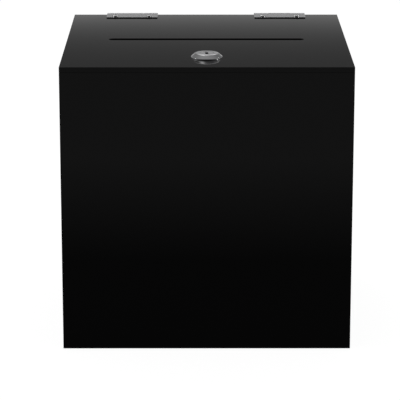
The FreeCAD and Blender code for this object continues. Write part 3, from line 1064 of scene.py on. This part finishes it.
@dataclass
class CamLock:
    """The cam lock, drawn about its axis with the lid's upper face at Z = 0, in millimetres."""

    axis_y: float = LOCK_Y
    lid_top: float = BOX_SIZE
    lid_sheet: float = SHEET
    flange_r: float = 13.75
    flange_round: float = 0.05
    rim: float = 1.0
    rim_round: float = 0.45
    face_r: float = 10.25
    face_height: float = 4.2
    crown: float = 3.0
    seat_r: float = 6.35
    seat_round: float = 0.2
    bore_r: float = 5.55
    seat_z: float = 2.1
    thread: Thread = Thread(9.5, 0.4, 1.0)
    barrel_flats: float = 16.0
    barrel_end: float = -16.0
    thread_start: float = 0.3
    thread_stop: float = 0.8
    relief_in: float = 6.2
    relief_out: float = 12.0
    relief_height: float = 1.8
    relief_past: float = 1.0
    relief_start: float = 73.0
    relief_sweep: float = 124.0
    nut_flats: float = 24.0
    nut_height: float = 5.0
    plug_face_r: float = 6.3
    plug_face: float = 1.8
    plug_r: float = 5.5
    plug_top: float = 3.95
    plug_round: float = 0.35
    dish: float = 0.12
    dish_round: float = 0.6
    dish_from: float = 0.72
    dish_to: float = 0.6
    centre_r: float = 0.05
    core_end: float = -16.1
    key_length: float = 8.0
    key_width: float = 2.2
    key_depth: float = 18.0
    key_round: float = 0.8
    key_flare: float = 0.4
    key_flare_depth: float = 1.2
    tail: float = 7.0
    tail_corner: float = 0.4
    tail_end: float = -18.6
    tail_fit: float = 0.05
    tail_ease: float = 0.1
    stud: Thread = Thread(3.0, 0.35, 0.8)
    stud_end: float = -24.1
    stud_taper: float = 0.6
    stud_plain: float = 0.4
    stud_overlap: float = 0.1
    cam_top: float = -17.1
    cam: float = 2.0
    cam_length: float = 34.5
    cam_width: float = 13.0
    cam_hub_r: float = 8.0
    cam_tip_r: float = 4.0
    cam_ease: float = 0.2
    cam_nut_flats: float = 10.0
    cam_nut_height: float = 4.0

    def flatted(self, row: Ring) -> Ring:
        """Return a ring of the barrel cut back to its two flats."""
        radius, height = row
        half = self.barrel_flats / 2
        return (lambda a: min(radius(a), half / max(1e-6, abs(math.cos(a)))), height)

    def housing(self) -> Form:
        """Return the bevelled flange and the threaded, flatted barrel with its bore and stop relief."""
        radius = self.thread.radius
        barrel = [level(radius - self.thread.depth, self.barrel_end)]
        barrel += self.thread.rows(self.barrel_end + self.thread_start, -self.lid_sheet + self.thread_stop)
        barrel.append(level(radius, 0.0))
        flange = [(radius, 0.0, 0.0), (self.flange_r, 0.0, self.flange_round),
                  (self.flange_r, self.rim, self.rim_round), (self.face_r, self.face_height, self.crown),
                  (self.seat_r, self.face_height, self.seat_round), (self.seat_r, self.seat_z, 0.0),
                  (self.bore_r, self.seat_z, 0.0)]
        rows = [level(self.bore_r, self.barrel_end), *map(self.flatted, barrel), *rounded_rows(flange)]
        return Form.shaped(rows, count=120, joined=True).carved(self.relief())

    def relief(self) -> Form:
        """Return the cutter of the notch in which the stop washer's lug swings."""
        start = math.radians(self.relief_start)
        end = math.radians(self.relief_start + self.relief_sweep)
        outline = arc(self.relief_out, start, end, steps=24) + arc(self.relief_in, end, start, steps=24)
        heights = (self.barrel_end - self.relief_past, self.barrel_end + self.relief_height)
        return Form.lofted([(height, outline) for height in heights])

    def plug(self) -> Form:
        """Return the plug with its bevelled key slot, core, square tail and threaded stud."""
        low, dished = self.plug_top - self.plug_face, self.plug_top - self.dish
        face = self.plug_face_r
        corners = [(self.centre_r, self.core_end, 0.0), (self.plug_r, self.core_end, 0.0),
                   (self.plug_r, low, 0.0), (face, low, 0.0), (face, self.plug_top, self.plug_round),
                   (face * self.dish_from, self.plug_top, self.dish_round),
                   (face * self.dish_to, dished, self.dish_round), (self.centre_r, dished, 0.0)]
        form = Form.turned(filleted(corners, closed=False, steps=4), count=72).carved(self.key_slot())
        half = self.tail / 2
        square = rectangle((-half, -half), (half, half), self.tail_corner)
        tail = Form.sheet(square, [], self.core_end - self.tail_end, self.tail_ease)
        form.with_form(tail.shifted(0.0, 0.0, self.tail_end))
        rows = [level(self.stud.radius - self.stud_taper, self.stud_end)]
        rows += self.stud.rows(self.stud_end + self.stud_plain, self.tail_end - self.stud_plain)
        rows.append(level(self.stud.radius, self.tail_end + self.stud_overlap))
        return form.with_form(Form.shaped(rows, count=40, joined=False))

    def key_slot(self) -> Form:
        """Return the cutter of the key slot, flared at the face."""
        outlines = []
        flares = ((-self.key_depth, 0.0), (-self.key_flare_depth, 0.0), (CUT_PAST, self.key_flare))
        for height, more in flares:
            half_y = self.key_length / 2 + more
            half_x = self.key_width / 2 + more
            points = rectangle((-half_x, -half_y), (half_x, half_y), half_x * self.key_round)
            outlines.append((self.plug_top + height, points))
        return Form.lofted(outlines)

    def cam_plate(self) -> Form:
        """Return the cam, pointing to +X, with its square hole."""
        half = self.cam_width / 2
        meet = math.acos(math.sqrt(self.cam_hub_r ** 2 - half ** 2) / self.cam_hub_r)
        arm = filleted([(self.cam_length, -half, self.cam_tip_r), (self.cam_length, half, self.cam_tip_r),
                        (0.0, half, 0.0), (0.0, -half, 0.0)])[:-2]
        hub = arc(self.cam_hub_r, meet, 2.0 * math.pi - meet)
        hole = self.tail / 2 + self.tail_fit
        form = Form.sheet(arm + hub, [rectangle((-hole, -hole), (hole, hole))], self.cam, self.cam_ease)
        return form.shifted(0.0, 0.0, self.cam_top - self.cam)

    def build(self, finishes: Finishes) -> None:
        """Build and dress the lock's pieces."""
        nut_low = -self.lid_sheet - self.nut_height
        nut = HexNut(self.nut_flats, self.thread, nut_low, self.nut_height)
        cam_nut_low = self.cam_top - self.cam - self.cam_nut_height
        cam_nut = HexNut(self.cam_nut_flats, self.stud, cam_nut_low, self.cam_nut_height)
        pieces = {
            "lock_housing": (self.housing(), Slot.CHROME, Body.LID),
            "lock_nut": (nut.form(), Slot.ZINC, Body.LID),
            "lock_plug": (self.plug(), Slot.CHROME, Body.CORE),
            "lock_cam": (self.cam_plate(), Slot.ZINC, Body.CORE),
            "cam_nut": (cam_nut.form(), Slot.ZINC, Body.CORE),
        }
        for node, (form, slot, body) in pieces.items():
            mesh = form.shifted(0.0, self.axis_y, self.lid_top).mesh()
            finishes.dress(mesh, node, "finished", slot, body)
        finishes.dress_node("stop_washer", Slot.ZINC)
        finishes.dress_node("wafer_tumblers", Slot.BRASS)


@dataclass(frozen=True)
class Lamp:
    """An area lamp that points at the lock, in metres."""

    name: str
    place: Place
    size: Point
    radiance: float
    target_z: float = 0.26

    def hang(self) -> None:
        """Add the lamp to the scene."""
        data = bpy.data.lights.new(self.name, "AREA")
        data.shape = "RECTANGLE"
        data.size, data.size_y = self.size
        data.energy = 4.0 * self.size[0] * self.size[1] * self.radiance
        made = placed(self.name, data)
        made.location = self.place
        way = Vector((0.0, LOCK_Y * MM, self.target_z)) - Vector(self.place)
        made.rotation_euler = way.to_track_quat("-Z", "Y").to_euler()
        made.visible_camera = False


@dataclass
class Studio:
    """Floor, gradient card, lamps, surroundings and camera, in metres."""

    floor_size: float = 7.0
    floor_cells: int = 8
    floor_drop: float = 0.0001
    floor_tone: float = 0.3
    floor_glow: float = 0.92
    # Painted shadow on the floor as reflections see it: a low glow near the box, rising further out
    painted_shadow_glow: float = 0.2
    far_glow: float = 0.72
    far_from: float = 0.40
    far_over: float = 0.41
    card_y: float = 0.627
    card_low: float = 0.338
    card_high: float = 0.418
    card_half: float = 1.3
    card_base: float = 0.125
    card_peak: float = 0.395
    card_from: float = 0.3448
    card_fall: float = 0.018
    around: float = 0.42
    frontwards: float = 0.45
    horizon: float = 0.9
    horizon_reach: float = 0.16
    overhead: float = 0.45
    leftwards: float = 0.04
    darkest: float = 0.03
    eye: Place = (-0.0077, -1.9533, 0.6289)
    pitch_deg: float = 15.095
    yaw_deg: float = 0.055
    lens_mm: float = 195.584
    sensor_mm: float = 36.0
    view_reach: float = 50.0
    lamps: tuple[Lamp, ...] = (
        Lamp("key_softbox", (-0.24, 0.49, 1.52), (0.32, 0.32), 1.8),
        Lamp("rear_softbox", (0.05, 1.05, 1.25), (0.8, 0.7), 0.95),
        Lamp("left_lamp", (-1.15, -0.1, 0.35), (0.08, 0.08), 70.0, 0.256),
        Lamp("right_lamp", (1.15, -0.1, 0.35), (0.08, 0.08), 70.0, 0.256),
    )

    def floor(self) -> None:
        """Make the pale floor, white to the eye and with the box's shadow, and with a painted shadow near the
        box in what reflections see.
        """
        mesh = bpy.data.meshes.new("studio_floor")
        bm = bmesh.new()
        cells = self.floor_cells
        bmesh.ops.create_grid(bm, x_segments=cells, y_segments=cells, size=self.floor_size)
        bm.to_mesh(mesh)
        mesh.transform(Matrix.Translation((0.0, 0.0, -self.floor_drop)))
        material, graph = new_graph("studio_floor_white")
        pale = graph.node("ShaderNodeBsdfDiffuse", {"Color": (self.floor_tone,) * 3 + (1.0,)})
        # Painted shadow: reflections see the floor glow little near the box and more from far_from outwards,
        # standing in for the box's shadow before it
        far = ((graph.axis("Y").size() - self.far_from) / self.far_over).clamped()
        mirrored = graph.ray("Glossy").larger(graph.ray("Transmission"))
        strength = self.floor_glow * graph.ray("Camera") + (self.painted_shadow_glow + self.far_glow * far) * mirrored
        glow = graph.node("ShaderNodeEmission", {"Strength": strength})
        both = graph.node("ShaderNodeAddShader", {0: pale, 1: glow})
        graph.node("ShaderNodeOutputMaterial", {"Surface": both})
        self.stand(mesh, material)

    def card(self) -> None:
        """Make the card behind the box whose fading light the lid mirrors."""
        mesh = bpy.data.meshes.new("studio_card")
        corners = rectangle((-self.card_half, self.card_low), (self.card_half, self.card_high))
        mesh.from_pydata([(x, self.card_y, z) for x, z in corners], [], [(0, 1, 2, 3)])
        material, graph = new_graph("studio_card_fading")
        fade = self.card_base + self.card_peak * ((self.card_from - graph.axis("Z")) / self.card_fall).exp()
        glow = graph.node("ShaderNodeEmission", {"Strength": fade})
        graph.node("ShaderNodeOutputMaterial", {"Surface": glow})
        self.stand(mesh, material).visible_camera = False

    @staticmethod
    def stand(mesh: Mesh, material: Material) -> Object:
        """Add a piece of the studio and return it."""
        mesh.materials.append(material)
        made = placed(mesh.name, mesh)
        return made

    def surroundings(self) -> None:
        """Make the soft surroundings, bright behind the box, dark before it and white to the eye."""
        world = bpy.data.worlds.new("studio_surroundings")
        world.use_nodes = True
        graph = Graph(world.node_tree)
        way = graph.node("ShaderNodeTexCoord", {}, "Generated")
        rightward, rearward, upward = (graph.axis(name, way) for name in "XYZ")
        level_share = (1.0 - upward.size() / self.horizon_reach).larger(0.0)
        behind = rearward.larger(0.0) * (self.horizon * level_share - self.overhead * upward)
        before = self.frontwards * rearward.smaller(0.0) * (1.0 - upward.larger(0.0))
        soft = (self.around + behind + before - self.leftwards * rightward).larger(self.darkest)
        strength = soft + graph.ray("Camera") * (1.0 - soft)
        back = graph.node("ShaderNodeBackground", {"Strength": strength})
        graph.node("ShaderNodeOutputWorld", {"Surface": back})
        bpy.context.scene.world = world

    def camera(self) -> None:
        """Set the camera at the photograph's place and angle."""
        data = bpy.data.cameras.new("photo_camera")
        data.lens = self.lens_mm
        data.sensor_width = self.sensor_mm
        data.clip_end = self.view_reach
        made = placed("photo_camera", data)
        made.location = self.eye
        made.rotation_euler = (math.radians(90.0 - self.pitch_deg), 0.0, math.radians(-self.yaw_deg))
        bpy.context.scene.camera = made

    def build(self) -> None:
        """Build the whole studio."""
        self.floor()
        self.card()
        self.surroundings()
        for lamp in self.lamps:
            lamp.hang()
        self.camera()
        bpy.context.scene.view_settings.view_transform = "Standard"


def main() -> None:
    """Build the box and its studio, and note the sizes."""
    logging.basicConfig(level=logging.INFO, format="%(name)s %(message)s")
    finishes = Finishes()
    hinges = [CornerHinge(side) for side in Side]
    AcrylicBox().build(finishes, [(x, hinge.wall_row[2]) for hinge in hinges for x in hinge.screw_x()])
    SlottedLid().build(finishes, [(x, hinge.lid_row[1]) for hinge in hinges for x in hinge.screw_x()])
    for hinge in hinges:
        hinge.build(finishes)
    LeafFasteners(hinges[0]).build(finishes)
    CamLock().build(finishes)
    Studio().build()


if __name__ == "__main__":
    main()
